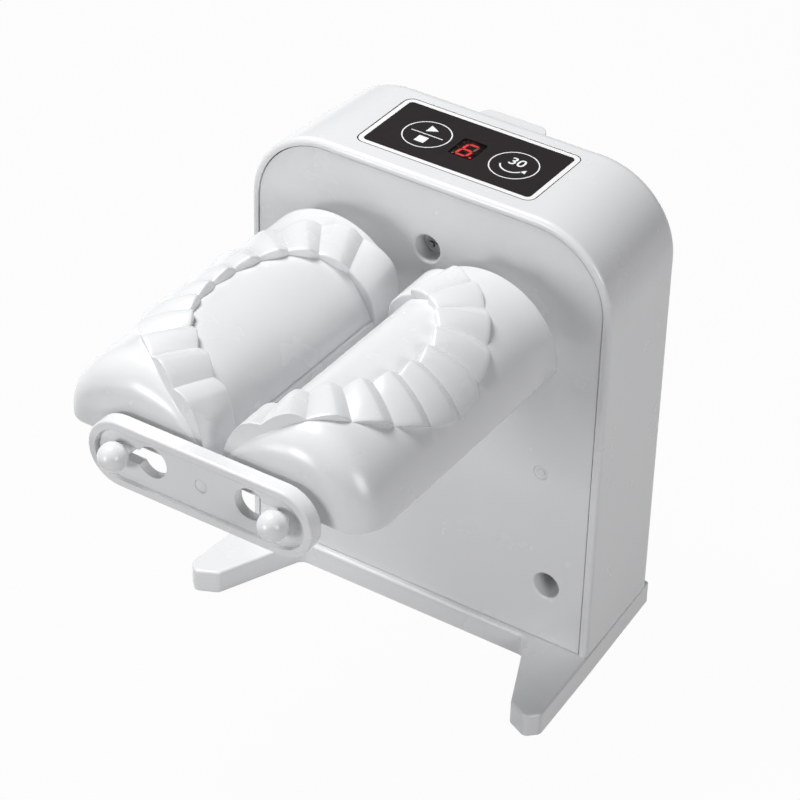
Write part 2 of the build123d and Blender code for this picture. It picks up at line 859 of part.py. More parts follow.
def tooth_flank(teeth, radius):
    """Half the angle, in radians, that a tooth of an involute gear takes up at a radius."""
    pitch_radius = gear_module * teeth / 2
    base_radius = pitch_radius * math.cos(math.radians(pressure_angle))
    half_at_pitch = (math.pi * gear_module / 2 - gear_backlash) / 2 / pitch_radius
    involute_at_pitch = math.tan(math.radians(pressure_angle)) - math.radians(pressure_angle)
    if radius <= base_radius:
        return half_at_pitch + involute_at_pitch
    angle = math.acos(base_radius / radius)
    return half_at_pitch + involute_at_pitch - (math.tan(angle) - angle)


def gear_outline(teeth, first_tooth):
    """Corner points of a gear around its own centre, with one tooth at the angle first_tooth."""
    pitch_radius = gear_module * teeth / 2
    root = pitch_radius - gear_dedendum * gear_module
    tip = pitch_radius + gear_addendum * gear_module
    flank = [pitch_radius + share * gear_module for share in gear_flank_points]
    radii = [root, *flank, tip]
    points = []
    for tooth in range(teeth):
        middle = first_tooth + 2 * math.pi * tooth / teeth
        for radius in radii:
            points.append((radius, middle - tooth_flank(teeth, radius)))
        for radius in reversed(radii):
            points.append((radius, middle + tooth_flank(teeth, radius)))
    return [(radius * math.cos(angle), radius * math.sin(angle)) for radius, angle in points]


def gear_teeth_at(x, z, teeth, first_tooth, y_from, y_to):
    """The toothed disc of a gear whose axis runs along Y through a point."""
    with BuildSketch(front_plane(y_from)) as disc:
        with BuildLine():
            Polyline(*[(x + px, z + pz) for px, pz in gear_outline(teeth, first_tooth)], close=True)
        make_face()
    extrude(disc.sketch, amount=y_from - y_to)


def turned_blank(side, radius, rear, front, nose):
    """A round bar on the roller's axis from rear to front, with its front edge rounded to nose."""
    x = side * roller_axis_x
    with BuildSketch(Plane.XY.offset(roller_axis_z)) as half:
        with BuildLine():
            Polyline((x + radius, -front + nose), (x + radius, -rear), (x, -rear), (x, -front))
            Line((x, -front), (x + radius - nose, -front))
            middle = nose * math.sqrt(0.5)
            ThreePointArc(
                (x + radius - nose, -front),
                (x + radius - nose + middle, -front + nose - middle),
                (x + radius, -front + nose),
            )
        make_face()
    return revolve(
        half.sketch,
        axis=Axis((x, 0, roller_axis_z), (0, 1, 0)),
        mode=Mode.PRIVATE,
    )


def blank_radius(y):
    """Radius of the roller's round surface at a depth, which falls away at the rounded nose."""
    into_nose = (roller_nose - roller_front) - y
    if into_nose <= 0:
        return roller_radius
    return roller_radius - roller_nose + math.sqrt(roller_nose**2 - min(into_nose, roller_nose) ** 2)


def mould_point(side, plan_radius, turn, radius):
    """A point of the mould: turn runs from -1 to 1 around the dish, seen from above, and radius is
    its distance from the roller's axis."""
    fold = roller_axis_x - roller_radius * math.cos(math.radians(fold_edge_angle))
    angle = turn * math.acos(fold / plan_radius)
    reach = plan_radius * math.cos(angle)
    round_roller = math.acos((roller_axis_x - reach) / roller_radius)
    y = -mould_y + plan_radius * math.sin(angle)
    if radius is None:
        radius = min(roller_radius, blank_radius(y)) - band_bite
    return Vector(
        side * (roller_axis_x - radius * math.cos(round_roller)),
        y,
        roller_axis_z + radius * math.sin(round_roller),
    )


def pleated_band(side):
    """The raised crimping band: pleats between two circles of the dish, as one faceted solid."""
    middle_radius = (mould_inner_radius + mould_outer_radius) / 2
    valley_in = roller_radius + mould_inner_rise
    crest_in = min(valley_in + mould_inner_wave, crest_radius)
    stations = []
    for pleat in range(pleats):
        stations.append((pleat, False))
        stations.append((pleat + pleat_lean, True))
    stations.append((pleats, False))
    rings = []
    for place, is_crest in stations:
        turn = 2 * place / pleats - 1
        inner = crest_in if is_crest else valley_in
        outer = crest_radius if is_crest else roller_radius
        rings.append(
            [
                mould_point(side, mould_inner_radius - band_foot_inset, turn, None),
                mould_point(side, mould_inner_radius, turn, inner),
                mould_point(side, middle_radius, turn, (inner + outer) / 2),
                mould_point(side, mould_outer_radius, turn, outer),
                mould_point(side, mould_outer_radius, turn, None),
            ]
        )
    faces = []
    for first, second in zip(rings, rings[1:]):
        for corner in range(len(first)):
            following = (corner + 1) % len(first)
            faces.append(Face(Wire.make_polygon([first[corner], first[following], second[following]])))
            faces.append(Face(Wire.make_polygon([first[corner], second[following], second[corner]])))
    for ring in (rings[0], rings[-1]):
        for corner in range(1, len(ring) - 1):
            faces.append(Face(Wire.make_polygon([ring[0], ring[corner], ring[corner + 1]])))
    return Solid(Shell(faces))


mesh_angle = math.atan2(pinion_z - roller_axis_z, pinion_x + roller_axis_x)
tooth_pitch = 2 * math.pi / gear_teeth
tooth_offset = round(mesh_angle / tooth_pitch) * tooth_pitch - mesh_angle
pinion_phase = mesh_angle + math.pi - tooth_offset * gear_teeth / pinion_teeth + math.pi / pinion_teeth

for side, name in sides:
    axis_x = side * roller_axis_x

    # Roller: a hollow half-round moulding with its share of the mould on the round side
    with BuildPart() as roller_body:
        add(turned_blank(side, roller_radius, roller_rear, roller_front, roller_nose))
        block(
            axis_x - 2 * roller_radius,
            axis_x + 2 * roller_radius,
            -roller_front - 1,
            -roller_rear + 1,
            roller_flat_z - 2 * roller_radius,
            roller_flat_z,
            mode=Mode.SUBTRACT,
        )
        flat_edges = roller_body.faces().sort_by(Axis.Z)[0].edges()
        fillet(flat_edges.filter_by(lambda edge: edge.center().Y < -roller_rear - 1), roller_edge_round)
        # Shallow floor of the mould, inside the band and behind the lip at the fold
        with BuildSketch(Plane.XY.offset(roller_axis_z)) as floor_plan:
            with Locations((0, -mould_y)):
                Circle(mould_inner_radius - mould_floor_inset)
            fold_lip = roller_axis_x - roller_radius * math.cos(math.radians(fold_lip_angle))
            with Locations((side * (fold_lip - mould_outer_radius), -mould_y)):
                Rectangle(2 * mould_outer_radius, 2 * mould_outer_radius, mode=Mode.SUBTRACT)
        floor_cut = extrude(floor_plan.sketch, amount=2 * roller_radius, mode=Mode.PRIVATE)
        floor_radius = roller_radius - mould_recess
        floor_core = turned_blank(side, floor_radius, roller_rear - 1, roller_front + 1, roller_nose)
        add(floor_cut - floor_core, mode=Mode.SUBTRACT)
        add(pleated_band(side))
        inner_radius = roller_radius - roller_wall
        add(
            turned_blank(
                side,
                inner_radius,
                roller_rear + roller_wall,
                roller_front - roller_wall,
                roller_nose - roller_wall,
            ),
            mode=Mode.SUBTRACT,
        )
        # Hub that takes the drive shaft, and a boss for the end pin
        bar_y(axis_x, roller_axis_z, hub_radius, -hub_end, -hub_end - hub_length)
        boss_end = roller_front - roller_wall - nose_boss_length
        bar_y(axis_x, roller_axis_z, nose_boss_radius, -roller_front + 1, -boss_end)
        block(
            axis_x - nose_boss_radius,
            axis_x + nose_boss_radius,
            -roller_front,
            -boss_end,
            roller_axis_z - nose_boss_radius,
            roller_flat_z,
            mode=Mode.SUBTRACT,
        )
        flatted_bar_y(
            axis_x,
            roller_axis_z,
            shaft_radius + drive_fit,
            shaft_flat + drive_fit,
            -hub_end,
            -hub_end - shaft_in_roller,
            mode=Mode.SUBTRACT,
        )
        bar_y(
            axis_x,
            roller_axis_z,
            pin_shank_radius,
            -roller_front,
            -roller_front + pin_shank_length,
            mode=Mode.SUBTRACT,
        )
    save(roller_body, name + "_roller_body")

    # Flat cover snapped into the underside of the roller
    with BuildPart() as roller_cover:
        add(
            turned_blank(
                side,
                inner_radius - cover_gap,
                roller_rear + roller_wall + cover_gap,
                roller_front - roller_wall - cover_gap,
                roller_nose - roller_wall,
            )
        )
        block(
            axis_x - roller_radius,
            axis_x + roller_radius,
            -roller_front,
            -roller_rear,
            roller_flat_z,
            roller_flat_z + cover_thickness,
            mode=Mode.INTERSECT,
        )
        bar_y(
            axis_x,
            roller_axis_z,
            hub_radius + cover_gap,
            -roller_rear,
            -hub_end - hub_length - cover_gap,
            mode=Mode.SUBTRACT,
        )
        bar_y(
            axis_x,
            roller_axis_z,
            nose_boss_radius + cover_gap,
            -roller_front,
            -boss_end + cover_gap,
            mode=Mode.SUBTRACT,
        )
    save(roller_cover, name + "_roller_cover")

    # End pin: a shank in the roller's nose, a neck for the link plate and a ball head
    with BuildPart() as end_pin:
        bar_y(axis_x, roller_axis_z, pin_shank_radius, -roller_front + pin_shank_length, -roller_front)
        bar_y(axis_x, roller_axis_z, neck_radius, -roller_front, -ball_y)
        with Locations((axis_x, -ball_y, roller_axis_z)):
            Sphere(ball_radius)
    save(end_pin, name + "_end_pin")

    # Drive shaft: flats in the roller and in the gear, and a thin journal behind
    with BuildPart() as drive_shaft:
        shaft_tip = -hub_end - shaft_in_roller
        flatted_bar_y(axis_x, roller_axis_z, shaft_radius, shaft_flat, shaft_tip, -hub_end)
        bar_y(axis_x, roller_axis_z, shaft_radius, -hub_end, gear_hub_front)
        flatted_bar_y(axis_x, roller_axis_z, shaft_radius, shaft_flat, gear_hub_front, gear_hub_rear)
        bar_y(axis_x, roller_axis_z, journal_radius, gear_hub_rear, shaft_rear)
        clip_front = bush_boss_front + rear_bush_length + bush_play
        with BuildSketch(front_plane(clip_front)) as groove:
            with Locations((axis_x, roller_axis_z)):
                Circle(journal_radius + 1)
                Circle(clip_groove_radius, mode=Mode.SUBTRACT)
        extrude(amount=-clip_thickness, mode=Mode.SUBTRACT)
    save(drive_shaft, name + "_drive_shaft")

    # Spur gear on the flatted part of the shaft
    with BuildPart() as roller_gear:
        gear_teeth_at(axis_x, roller_axis_z, gear_teeth, 0, gear_y, gear_y + gear_width)
        bar_y(axis_x, roller_axis_z, gear_hub_radius, gear_hub_front, gear_hub_rear)
        flatted_bar_y(
            axis_x,
            roller_axis_z,
            shaft_radius + drive_fit,
            shaft_flat + drive_fit,
            gear_hub_front,
            gear_hub_rear,
            mode=Mode.SUBTRACT,
        )
    save(roller_gear, name + "_gear")

    # Spring clip that keeps the shaft from sliding out
    with BuildPart() as shaft_clip:
        bar_y(axis_x, roller_axis_z, clip_radius, clip_front, clip_front + clip_thickness)
        bar_y(
            axis_x,
            roller_axis_z,
            clip_groove_radius,
            clip_front,
            clip_front + clip_thickness,
            mode=Mode.SUBTRACT,
        )
        block(
            axis_x - clip_mouth / 2,
            axis_x + clip_mouth / 2,
            clip_front,
            clip_front + clip_thickness,
            roller_axis_z - clip_radius - 1,
            roller_axis_z,
            mode=Mode.SUBTRACT,
        )
    save(shaft_clip, name + "_shaft_clip")

# Pinion and the output shaft of the gearbox that it is pressed on
with BuildPart() as motor_pinion:
    gear_teeth_at(pinion_x, pinion_z, pinion_teeth, pinion_phase, gear_y, gear_y + gear_width)
    bar_y(pinion_x, pinion_z, pinion_hub_radius, gear_y, gear_y + pinion_hub_length)
    bar_y(
        pinion_x,
        pinion_z,
        motor_shaft_radius,
        gear_y,
        gear_y + pinion_hub_length,
        mode=Mode.SUBTRACT,
    )
save(motor_pinion, "motor_pinion")

with BuildPart() as motor_shaft:
    bar_y(pinion_x, pinion_z, motor_shaft_radius, gear_y, frame_back + motor_shaft_depth - 1)
save(motor_shaft, "motor_shaft")

# Link plate: a rimmed plate that hooks over the necks of both end pins through its keyholes
with BuildPart() as link_plate:
    plate_length = 2 * (roller_axis_x + plate_radius)
    with BuildSketch(front_plane(-plate_front)):
        with Locations((0, plate_centre_z)):
            SlotOverall(plate_length, 2 * plate_radius)
    extrude(amount=-plate_thickness)
    fillet(link_plate.faces().sort_by(Axis.Y)[0].edges(), plate_edge_round)
    with BuildSketch(front_plane(-plate_front)):
        with Locations((0, plate_centre_z)):
            SlotOverall(plate_length - 2 * plate_rim, 2 * (plate_radius - plate_rim))
    extrude(amount=-plate_rim_height, mode=Mode.SUBTRACT)
    neck_seat = neck_radius + running_fit
    for side in (-1, 1):
        bar_y(
            side * keyhole_x,
            roller_axis_z,
            keyhole_radius,
            -plate_front,
            -plate_front + plate_thickness,
            mode=Mode.SUBTRACT,
        )
        bar_y(
            side * roller_axis_x,
            roller_axis_z,
            neck_seat,
            -plate_front,
            -plate_front + plate_thickness,
            mode=Mode.SUBTRACT,
        )
        block(
            side * keyhole_x,
            side * roller_axis_x,
            -plate_front,
            -plate_front + plate_thickness,
            roller_axis_z - neck_seat,
            roller_axis_z + neck_seat,
            mode=Mode.SUBTRACT,
        )
    floor_y = -plate_front + plate_rim_height
    bar_y(0, plate_centre_z, gate_mark_radius, floor_y, floor_y + gate_mark_depth, mode=Mode.SUBTRACT)
save(link_plate, "link_plate")
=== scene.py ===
import math

import bmesh
import bpy
from mathutils import Matrix, Vector


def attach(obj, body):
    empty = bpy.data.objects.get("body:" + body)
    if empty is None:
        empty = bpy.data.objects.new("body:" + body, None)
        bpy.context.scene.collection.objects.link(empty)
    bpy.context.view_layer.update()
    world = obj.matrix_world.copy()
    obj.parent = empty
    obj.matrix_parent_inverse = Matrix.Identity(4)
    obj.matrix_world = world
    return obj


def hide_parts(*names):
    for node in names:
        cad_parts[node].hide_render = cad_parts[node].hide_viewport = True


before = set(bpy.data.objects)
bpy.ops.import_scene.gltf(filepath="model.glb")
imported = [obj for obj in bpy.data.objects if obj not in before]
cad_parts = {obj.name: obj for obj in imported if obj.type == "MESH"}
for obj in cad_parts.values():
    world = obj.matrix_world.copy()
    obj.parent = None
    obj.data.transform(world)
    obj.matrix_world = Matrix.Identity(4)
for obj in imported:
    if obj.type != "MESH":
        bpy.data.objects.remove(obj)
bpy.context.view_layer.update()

# The view
# The photograph looks down on the front of the machine from its right, through a long lens, and is
# turned a little in its frame. The place, angles and lens were solved from the panel's outline.
turned = math.radians(32.35)
tipped = math.radians(35.31)
rolled = math.radians(1.67)
level = Vector((math.cos(turned), math.sin(turned), 0))
behind = Vector(
    (math.sin(turned) * math.cos(tipped), -math.cos(turned) * math.cos(tipped), math.sin(tipped))
)
upright = behind.cross(level)
across = math.cos(rolled) * level + math.sin(rolled) * upright
above = math.cos(rolled) * upright - math.sin(rolled) * level
camera_data = bpy.data.cameras.new("camera")
camera_data.lens = 143.33
camera_data.sensor_width = 36
camera_data.clip_start = 0.05
camera_data.clip_end = 20
camera = bpy.data.objects.new("camera", camera_data)
camera.matrix_world = Matrix.Translation((0.4757, -0.7646, 0.7287)) @ Matrix(
    (across, above, behind)
).transposed().to_4x4()
bpy.context.scene.collection.objects.link(camera)
bpy.context.scene.camera = camera

# The floor and the light
# A seamless pale table, lit by a soft box from above on the left and weaker ones in front and on
# the right. The camera sees the floor and the world as white. Reflections and clear film see only
# the floor so, and the floor still takes the object's shadow.
def to_linear(code):
    """A colour written as sRGB hex, as Blender's linear red, green, blue and alpha."""
    shares = [int(code[place : place + 2], 16) / 255 for place in (1, 3, 5)]
    return (*[s / 12.92 if s <= 0.04045 else ((s + 0.055) / 1.055) ** 2.4 for s in shares], 1.0)


def add_node(tree, kind, inputs=(), **settings):
    """Adds a node. inputs is a list of (socket, value), where a value may be another's output."""
    made = tree.nodes.new(kind)
    for name, value in settings.items():
        setattr(made, name, value)
    for socket, value in inputs:
        if isinstance(value, bpy.types.NodeSocket):
            tree.links.new(value, made.inputs[socket])
        else:
            made.inputs[socket].default_value = value
    return made


def new_material(name):
    """An empty node material and its tree."""
    material = bpy.data.materials.new(name)
    material.use_nodes = True
    material.node_tree.nodes.clear()
    return material, material.node_tree


def seen_directly(tree):
    """1 for rays of the camera, of glossy reflections and through glass, or else 0."""
    path = add_node(tree, "ShaderNodeLightPath")
    either = add_node(
        tree,
        "ShaderNodeMath",
        [(0, path.outputs["Is Camera Ray"]), (1, path.outputs["Is Glossy Ray"])],
        operation="MAXIMUM",
    )
    return add_node(
        tree,
        "ShaderNodeMath",
        [(0, either.outputs[0]), (1, path.outputs["Is Transmission Ray"])],
        operation="MAXIMUM",
    ).outputs[0]


floor_half = 3.0
glow_share = 0.965
floor_mesh = bpy.data.meshes.new("floor")
floor_mesh.from_pydata(
    [(x, y, 0) for x, y in ((-1, -1), (1, -1), (1, 1), (-1, 1))], [], [(0, 1, 2, 3)]
)
floor_mesh.transform(Matrix.Scale(floor_half, 4))
floor = bpy.data.objects.new("floor", floor_mesh)
bpy.context.scene.collection.objects.link(floor)
floor_white, tree = new_material("painted_table_matte")
grain = add_node(tree, "ShaderNodeTexNoise", [("Scale", 60.0), ("Detail", 3.0)])
tint = add_node(
    tree,
    "ShaderNodeMix",
    [("Factor", grain.outputs["Fac"]), ("A", to_linear("#A3A3A3")), ("B", to_linear("#A9A9A9"))],
    data_type="RGBA",
)
paint = add_node(tree, "ShaderNodeBsdfDiffuse", [("Color", tint.outputs["Result"])])
glow = add_node(tree, "ShaderNodeEmission", [("Color", (1, 1, 1, 1)), ("Strength", 1.0)])
part_seen = add_node(
    tree, "ShaderNodeMath", [(0, seen_directly(tree)), (1, glow_share)], operation="MULTIPLY"
)
blend = add_node(
    tree,
    "ShaderNodeMixShader",
    [(0, part_seen.outputs[0]), (1, paint.outputs[0]), (2, glow.outputs[0])],
)
add_node(tree, "ShaderNodeOutputMaterial", [("Surface", blend.outputs[0])])
floor_mesh.materials.append(floor_white)

world = bpy.data.worlds.new("studio")
world.use_nodes = True
world.node_tree.nodes.clear()
tree = world.node_tree
room = add_node(tree, "ShaderNodeBackground", [("Color", (1, 1, 1, 1)), ("Strength", 0.07)])
white = add_node(tree, "ShaderNodeBackground", [("Color", (1, 1, 1, 1)), ("Strength", 1.0)])
path = add_node(tree, "ShaderNodeLightPath")
seen = add_node(
    tree,
    "ShaderNodeMixShader",
    [(0, path.outputs["Is Camera Ray"]), (1, room.outputs[0]), (2, white.outputs[0])],
)
add_node(tree, "ShaderNodeOutputWorld", [("Surface", seen.outputs[0])])
bpy.context.scene.world = world
bpy.context.scene.view_settings.view_transform = "Standard"

lamp_aim = Vector((0, -0.02, 0.1))
for name, place, size, power in (
    ("top_box", (-0.46, -0.04, 1.10), 0.4, 12.2),
    ("front_box", (-0.45, -1.20, 0.30), 0.35, 5.2),
    ("right_box", (1.20, -0.60, 0.60), 0.5, 6.8),
):
    lamp_data = bpy.data.lights.new(name, "AREA")
    lamp_data.shape = "SQUARE"
    lamp_data.size = size
    lamp_data.energy = power
    lamp = bpy.data.objects.new(name, lamp_data)
    lamp.location = place
    lamp.rotation_euler = (lamp_aim - lamp.location).to_track_quat("-Z", "Y").to_euler()
    bpy.context.scene.collection.objects.link(lamp)

# Base frame, housing shell and front panel
# Injection moulded white ABS from polished steel moulds. Edges are broken by a fraction of a
# millimetre, the white drifts by a shade, and handling leaves faint dull patches in the gloss.
def lacquered_plastic(name, light, dark, gloss, edge, grain):
    """Moulded plastic: two close shades, softened edges and a very fine grain, both in mm."""
    material, tree = new_material(name)
    place = add_node(tree, "ShaderNodeTexCoord").outputs["Object"]
    clouds = add_node(
        tree, "ShaderNodeTexNoise", [("Vector", place), ("Scale", 1000 / 38), ("Detail", 4.0)]
    )
    shade = add_node(
        tree,
        "ShaderNodeMix",
        [("Factor", clouds.outputs["Fac"]), ("A", to_linear(dark)), ("B", to_linear(light))],
        data_type="RGBA",
    )
    handling = add_node(
        tree,
        "ShaderNodeTexNoise",
        [("Vector", place), ("Scale", 1000 / 17), ("Detail", 3.0), ("Roughness", 0.5)],
    )
    dulled = add_node(
        tree,
        "ShaderNodeMapRange",
        [
            ("Value", handling.outputs["Fac"]),
            ("From Min", 0.3),
            ("From Max", 0.8),
            ("To Min", gloss),
            ("To Max", gloss + 0.05),
        ],
    )
    fine = add_node(
        tree, "ShaderNodeTexNoise", [("Vector", place), ("Scale", 1000 / grain), ("Detail", 2.0)]
    )
    softened = add_node(tree, "ShaderNodeBevel", [("Radius", edge / 1000)], samples=4)
    skin = add_node(
        tree,
        "ShaderNodeBump",
        [
            ("Strength", 0.12),
            ("Distance", 0.012 / 1000),
            ("Height", fine.outputs["Fac"]),
            ("Normal", softened.outputs[0]),
        ],
    )
    shader = add_node(
        tree,
        "ShaderNodeBsdfPrincipled",
        [
            ("Base Color", shade.outputs["Result"]),
            ("Roughness", dulled.outputs["Result"]),
            ("IOR", 1.53),
            ("Normal", skin.outputs[0]),
        ],
    )
    add_node(tree, "ShaderNodeOutputMaterial", [("Surface", shader.outputs[0])])
    return material


def dress(material, *nodes):
    """Gives CAD nodes that stay in sight a finished material."""
    for node in nodes:
        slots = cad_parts[node].data.materials
        slots.clear()
        slots.append(material)


white_abs = lacquered_plastic("white_abs_polished", "#E6E7E8", "#E1E2E4", 0.24, 0.35, 0.9)
dress(white_abs, "base_frame", "housing_shell", "front_panel", "link_plate")

# Rubber pads
# Four black rubber pads, punched from sheet and glued into their seats under the base. The sheet
# has a fine dusty grain and no gloss.
def grained(name, light, dark, roughness, grain, depth, metal=0.0, stretch=(1, 1, 1)):
    """Two shades and a relief from one noise: grain and depth in mm, drawn out by stretch."""
    material, tree = new_material(name)
    place = add_node(tree, "ShaderNodeTexCoord").outputs["Object"]
    drawn = add_node(tree, "ShaderNodeMapping", [("Vector", place), ("Scale", stretch)])
    noise = add_node(
        tree,
        "ShaderNodeTexNoise",
        [("Vector", drawn.outputs[0]), ("Scale", 1000 / grain), ("Detail", 5.0)],
    )
    shade = add_node(
        tree,
        "ShaderNodeMix",
        [("Factor", noise.outputs["Fac"]), ("A", to_linear(dark)), ("B", to_linear(light))],
        data_type="RGBA",
    )
    dull = add_node(
        tree,
        "ShaderNodeMapRange",
        [
            ("Value", noise.outputs["Fac"]),
            ("To Min", roughness - 0.07),
            ("To Max", roughness + 0.07),
        ],
    )
    skin = add_node(
        tree,
        "ShaderNodeBump",
        [("Strength", 0.6), ("Distance", depth / 1000), ("Height", noise.outputs["Fac"])],
    )
    shader = add_node(
        tree,
        "ShaderNodeBsdfPrincipled",
        [
            ("Base Color", shade.outputs["Result"]),
            ("Metallic", metal),
            ("Roughness", dull.outputs["Result"]),
            ("Normal", skin.outputs[0]),
        ],
    )
    add_node(tree, "ShaderNodeOutputMaterial", [("Surface", shader.outputs[0])])
    return material


dress(grained("black_rubber_dusty", "#2C2B2A", "#1B1B1B", 0.82, 0.8, 0.05), "rubber_feet")

# Gear frame, gearbox and battery cradle
# Grey ABS from spark-eroded moulds, so it has an even matt texture and no gloss.
grey_abs = grained("grey_abs_eroded", "#A9ACAE", "#9A9DA0", 0.6, 0.55, 0.03)
dress(grey_abs, "gear_frame", "motor_gearbox", "battery_cradle")

# Gears, pinion and bushes
# Moulded acetal: a waxy off-white, slightly mottled where the melt met, with faint flow marks.
acetal = grained("acetal_waxy", "#EAE8DE", "#DEDBCF", 0.38, 2.6, 0.02, stretch=(1, 0.3, 1))
dress(acetal, "left_gear", "right_gear", "motor_pinion", "front_bushes", "rear_bushes")

# Motor can
# Deep drawn steel with long faint draw lines and a thin oily bloom.
can_steel = grained(
    "motor_steel_drawn", "#B5B7BA", "#8C8F93", 0.34, 1.4, 0.012, metal=1.0, stretch=(3, 3, 0.15)
)
dress(can_steel, "motor_can")

# Shafts and clips
# Bright ground bar, with fine rings around it from the wheel.
shaft_steel = grained(
    "shaft_steel_ground", "#CDCED1", "#A3A5A9", 0.22, 0.9, 0.008, metal=1.0, stretch=(0.2, 4, 0.2)
)
dress(shaft_steel, "left_drive_shaft", "right_drive_shaft", "motor_shaft")
dress(shaft_steel, "left_shaft_clip", "right_shaft_clip")

# Rechargeable cell
# A steel cell in plain blue shrink film, whose film is drawn tight with a slight orange peel.
dress(grained("shrink_film_blue", "#2F62A8", "#27548F", 0.3, 3.0, 0.04), "battery_cell")

# Circuit boards, socket and foam pads
# Glass cloth board under green solder mask, where the cloth shows as a fine waver in the green. The
# socket is stamped bright steel, and the pads are black open foam.
board = grained("solder_mask_green", "#1E5B36", "#164828", 0.42, 1.2, 0.02)
dress(board, "control_board", "charge_board")
socket_steel = grained("socket_steel_stamped", "#C9CACC", "#A2A4A7", 0.28, 1.0, 0.01, metal=1.0)
dress(socket_steel, "charge_socket")
dress(grained("foam_black_open", "#2A2A2A", "#121212", 0.9, 0.6, 0.2), "touch_pads")

# Digit display
# A black potted block. Its seven bars glow red through the resin; the upper right one is off.
dress(grained("display_resin_black", "#1C1B1B", "#121111", 0.5, 1.5, 0.02), "digit_display")
digit_place = (-0.2, 24.4)
digit_top = 179.53
bar_half_width = 0.52
digit_half = (2.05, 3.75)
digit_slant = math.tan(math.radians(8))


def bar_outline(start, end):
    """Six corners of a bar with pointed ends, leaning with the digit."""
    along = Vector((end[0] - start[0], end[1] - start[1])).normalized()
    aside = Vector((-along.y, along.x))
    near = Vector(start) + 0.12 * along
    far = Vector(end) - 0.12 * along
    step = bar_half_width
    corners = [near, near + step * (along + aside), far + step * (aside - along), far]
    corners += [far - step * (aside + along), near + step * (along - aside)]
    return [(digit_place[0] + c.x + digit_slant * c.y, digit_place[1] + c.y) for c in corners]


def flat_shape(name, outlines, height, material, body="housing"):
    """A thin printed layer: each outline is a filled polygon at a height in mm."""
    form = bmesh.new()
    for outline in outlines:
        form.faces.new([form.verts.new((x / 1000, y / 1000, height / 1000)) for x, y in outline])
    for face in form.faces:
        if face.normal.z < 0:
            face.normal_flip()
    mesh = bpy.data.meshes.new(name)
    form.to_mesh(mesh)
    form.free()
    mesh.materials.append(material)
    shape = bpy.data.objects.new(name, mesh)
    bpy.context.scene.collection.objects.link(shape)
    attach(shape, body)
    return shape


def disc(x, y, radius, count=40):
    """Corner points of a filled circle."""
    turns = [2 * math.pi * step / count for step in range(count)]
    return [(x + radius * math.cos(t), y + radius * math.sin(t)) for t in turns]


lit, tree = new_material("led_resin_lit")
place = add_node(tree, "ShaderNodeTexCoord").outputs["Object"]
spread = add_node(
    tree, "ShaderNodeTexNoise", [("Vector", place), ("Scale", 700.0), ("Detail", 2.0)]
)
red = add_node(
    tree,
    "ShaderNodeMix",
    [("Factor", spread.outputs["Fac"]), ("A", to_linear("#D8403F")), ("B", to_linear("#F2625C"))],
    data_type="RGBA",
)
resin = add_node(
    tree,
    "ShaderNodeBsdfPrincipled",
    [
        ("Base Color", to_linear("#701818")),
        ("Roughness", 0.4),
        ("Emission Color", red.outputs["Result"]),
        ("Emission Strength", 1.15),
    ],
)
add_node(tree, "ShaderNodeOutputMaterial", [("Surface", resin.outputs[0])])
wide, tall = digit_half
lit_bars = [
    bar_outline((-wide, tall), (wide, tall)),
    bar_outline((-wide, 0), (-wide, tall)),
    bar_outline((-wide, -tall), (-wide, 0)),
    bar_outline((-wide, -tall), (wide, -tall)),
    bar_outline((-wide, 0), (wide, 0)),
    bar_outline((wide, -tall), (wide, 0)),
    disc(digit_place[0] + 3.3, digit_place[1] - tall, 0.5, 24),
]
bars = flat_shape("lit_bars", lit_bars, digit_top, lit)
unlit = grained("led_resin_unlit", "#A39A9A", "#8F8686", 0.45, 0.7, 0.01)
dark_bar = flat_shape("unlit_bar", [bar_outline((wide, 0), (wide, tall))], digit_top, unlit)

# Printed label and its window
# Polyester film, printed black, with a white border and two thin circles round the signs for start,
# stop and thirty turns, and a smoked window. Its front is satin with a very fine tooth.
dress(grained("printed_film_black", "#2A2526", "#231F20", 0.36, 0.7, 0.006), "control_label")
smoked, tree = new_material("window_film_smoked")
place = add_node(tree, "ShaderNodeTexCoord").outputs["Object"]
dust = add_node(tree, "ShaderNodeTexNoise", [("Vector", place), ("Scale", 900.0), ("Detail", 3.0)])
haze = add_node(
    tree,
    "ShaderNodeMapRange",
    [("Value", dust.outputs["Fac"]), ("To Min", 0.02), ("To Max", 0.09)],
)
film = add_node(
    tree,
    "ShaderNodeBsdfPrincipled",
    [
        ("Base Color", to_linear("#E6D2D2")),
        ("Roughness", haze.outputs["Result"]),
        ("IOR", 1.3),
        ("Transmission Weight", 1.0),
    ],
)
add_node(tree, "ShaderNodeOutputMaterial", [("Surface", film.outputs[0])])
dress(smoked, "display_window")

label_centre = (0.0, 24.95)
print_height = 180.225
white_ink = grained("screen_ink_white", "#F3F3F3", "#E9E9E9", 0.5, 0.5, 0.006)


def rounded_outline(half_x, half_y, corner):
    """Corner points of a rounded rectangle around the label's centre."""
    points = []
    for quarter, (sign_x, sign_y) in enumerate(((1, 1), (-1, 1), (-1, -1), (1, -1))):
        for step in range(9):
            turn = math.pi / 2 * (quarter + step / 8)
            x = label_centre[0] + sign_x * (half_x - corner) + corner * math.cos(turn)
            y = label_centre[1] + sign_y * (half_y - corner) + corner * math.sin(turn)
            points.append((x, y))
    return points


def between(outer, inner):
    """Four-cornered pieces that fill the strip between two outlines of as many points."""
    count = len(outer)
    return [
        [outer[place], outer[(place + 1) % count], inner[(place + 1) % count], inner[place]]
        for place in range(count)
    ]


